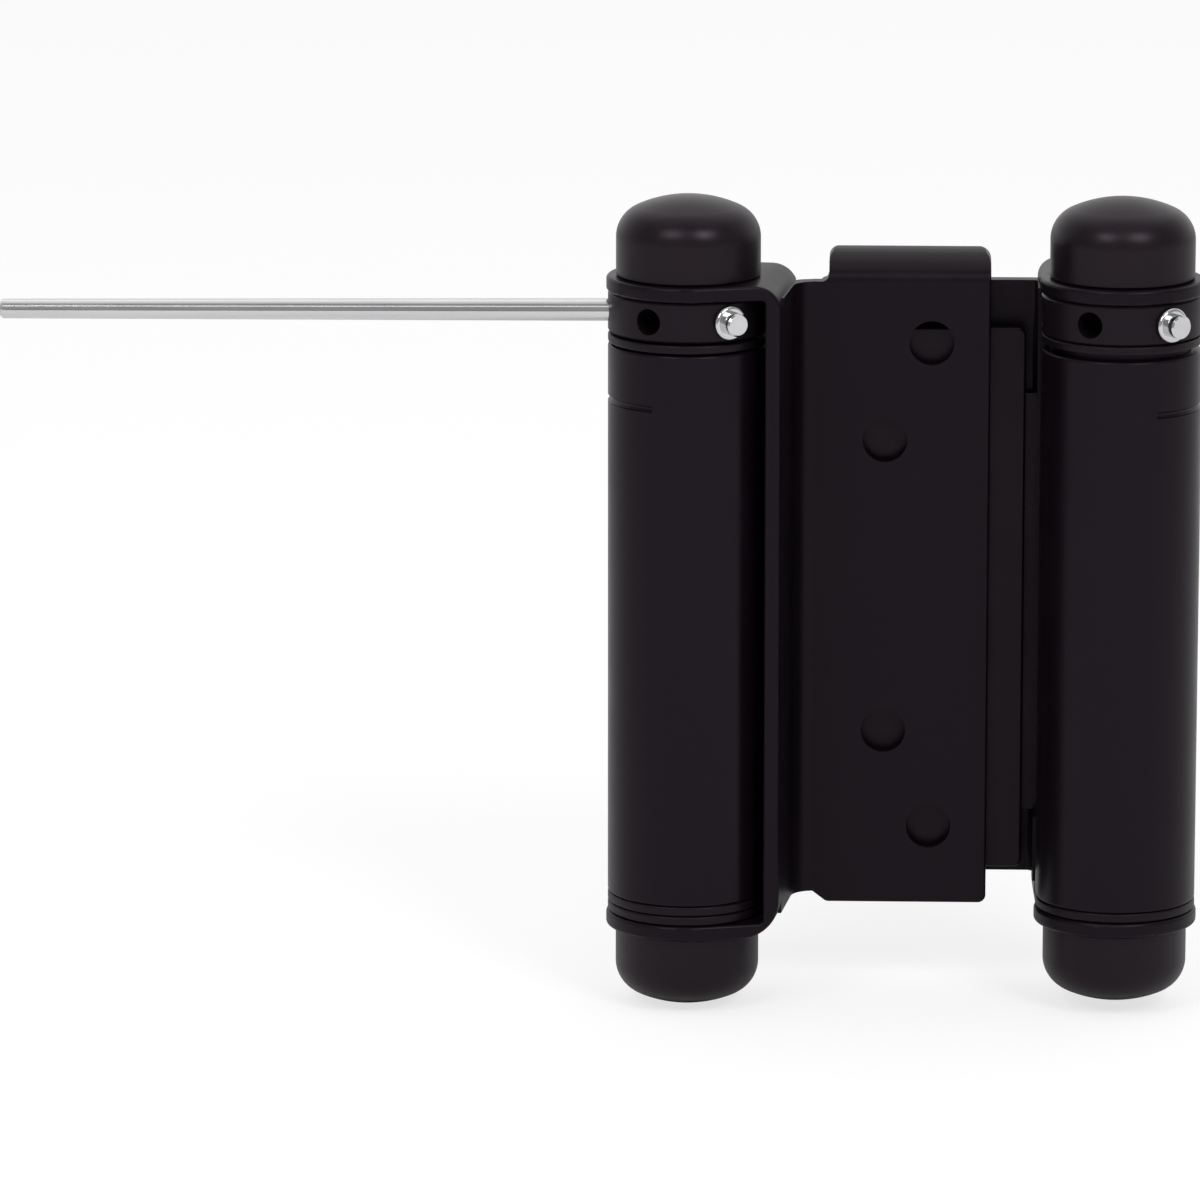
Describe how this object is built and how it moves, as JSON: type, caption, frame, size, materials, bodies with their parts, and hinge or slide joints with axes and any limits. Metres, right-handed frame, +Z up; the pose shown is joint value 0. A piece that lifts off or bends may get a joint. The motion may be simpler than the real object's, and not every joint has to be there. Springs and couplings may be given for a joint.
{
  "type": "double action spring hinge",
  "caption": "Double action spring hinge for a cafe door: two sprung barrels on a shared web, two folded leaves, tension collars, stop pins and a tommy bar.",
  "frame": {"origin": "on the jamb leaf's wood face, midway between the barrel axes and at mid height", "axes": "X from the left barrel to the right one, Y from the jamb strip's side to the door's edge, Z up along the barrels"},
  "size_m": [0.1812, 0.0304, 0.1247],
  "materials": {
    "sheet_paint": "satin",
    "turned_paint": "satin",
    "cap_paint": "satin",
    "bright_zinc": "bright",
    "spindle_steel": "turned",
    "spring_steel": "oiled"
  },
  "bodies": {
    "jamb": {"jamb_leaf": "sheet_paint", "left_spindle": "spindle_steel", "left_top_cap": "cap_paint", "left_bottom_cap": "cap_paint", "left_foot_washer": "turned_paint"},
    "barrels": {"left_barrel": "sheet_paint", "right_barrel": "sheet_paint", "left_spring_anchor": "turned_paint", "right_spring_anchor": "turned_paint", "left_spring": "spring_steel", "right_spring": "spring_steel"},
    "door": {"door_leaf": "sheet_paint", "right_spindle": "spindle_steel", "right_top_cap": "cap_paint", "right_bottom_cap": "cap_paint"},
    "left_tension": {"left_collar": "turned_paint", "left_upper_ring": "turned_paint", "left_stop_pin": "bright_zinc", "tommy_bar": "bright_zinc"},
    "right_tension": {"right_collar": "turned_paint", "right_upper_ring": "turned_paint", "right_stop_pin": "bright_zinc"}
  },
  "joints": [
    {"name": "left_swing", "type": "hinge", "parent": "jamb", "child": "barrels", "pos_m": [-0.0326, -0.0078, 0], "axis": [0, 0, 1], "range_deg": [0, 125], "stiffness_Nm_per_rad": 0.5, "deforming": ["left_spring"]},
    {"name": "right_swing", "type": "hinge", "parent": "barrels", "child": "door", "pos_m": [0.0326, -0.0078, 0], "axis": [0, 0, -1], "range_deg": [0, 180], "stiffness_Nm_per_rad": 0.5, "deforming": ["right_spring"]},
    {"name": "left_collar_turn", "type": "hinge", "parent": "jamb", "child": "left_tension", "pos_m": [-0.0326, -0.0078, 0.0448], "axis": [0, 0, 1], "range_deg": [-120, 10], "deforming": ["left_spring"]},
    {"name": "right_collar_turn", "type": "hinge", "parent": "door", "child": "right_tension", "pos_m": [0.0326, -0.0078, 0.0448], "axis": [0, 0, 1], "range_deg": [-120, 120], "deforming": ["right_spring"]}
  ]
}
